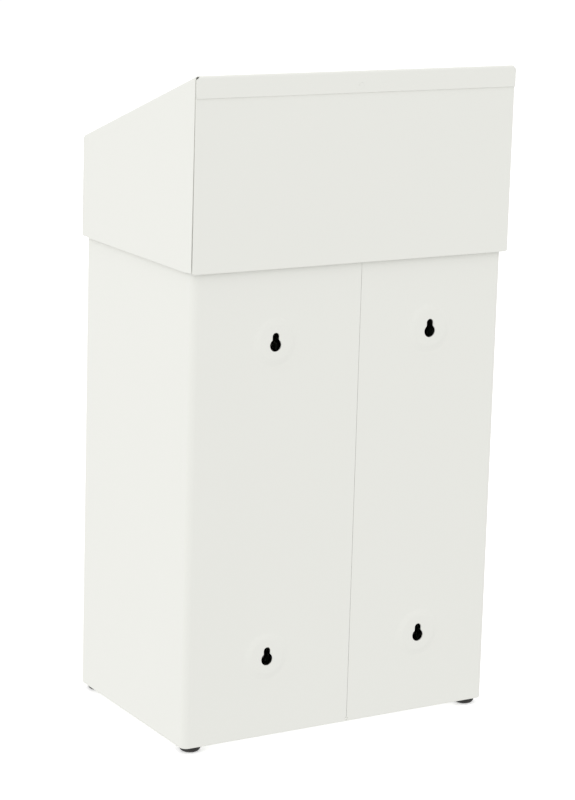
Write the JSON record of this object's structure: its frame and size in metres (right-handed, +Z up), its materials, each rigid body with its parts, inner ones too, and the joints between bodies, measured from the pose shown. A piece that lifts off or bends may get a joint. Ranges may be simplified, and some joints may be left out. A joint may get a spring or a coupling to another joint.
{
  "type": "waste bin",
  "caption": "Rectangular sheet steel waste bin with a lift-off sloping hood, a sprung push flap, a wire bag frame, rubber feet and wall keyholes",
  "frame": {"origin": "on the floor, under the middle of the outline", "axes": "+Z up, front (the hood's low side) to -Y, the keyhole side to +Y, +X to the right seen from the front"},
  "size_m": [0.388, 0.2536, 0.7172],
  "materials": {
    "paint": "satin",
    "rubber": "matte",
    "zinc": "satin",
    "spring_steel": "satin",
    "nylon": "matte"
  },
  "bodies": {
    "bin": {"body_shell": "paint", "seam_strip": "paint", "base_pan": "paint", "foot_front_left": "rubber", "foot_front_right": "rubber", "foot_rear_left": "rubber", "foot_rear_right": "rubber", "foot_washers": "zinc", "foot_screws": "zinc", "foot_nuts": "zinc", "frame_clip_left": "zinc", "frame_clip_right": "zinc", "frame_rest_left": "zinc", "frame_rest_right": "zinc"},
    "bag_frame": {"bag_frame": "zinc"},
    "hood": {"hood_cover": "paint", "hood_rear_panel": "paint", "flange_rivet": "paint", "ledge_left": "paint", "ledge_right": "paint", "hood_buffers": "rubber", "hinge_bracket_left": "paint", "hinge_bracket_right": "paint", "hinge_rod": "zinc", "rod_caps": "zinc", "spring_left": "spring_steel", "spring_right": "spring_steel"},
    "flap": {"flap": "paint", "flap_bush_left": "nylon", "flap_bush_right": "nylon", "flap_stops": "rubber"}
  },
  "joints": [
    {"name": "hood_lift", "type": "slide", "parent": "bin", "child": "hood", "axis": [0, 0, 1], "range_m": [0, 0.3]},
    {"name": "flap_swing", "type": "hinge", "parent": "hood", "child": "flap", "pos_m": [0, 0.09404, 0.68827], "axis": [1, 0, 0], "range_deg": [0, 65], "stiffness_Nm_per_rad": 0.52, "springref_deg": -83.08, "deforming": ["spring_left", "spring_right"]},
    {"name": "bag_frame_swing", "type": "hinge", "parent": "bin", "child": "bag_frame", "pos_m": [0, 0.10175, 0.534], "axis": [-1, 0, 0], "range_deg": [0, 18]}
  ]
}
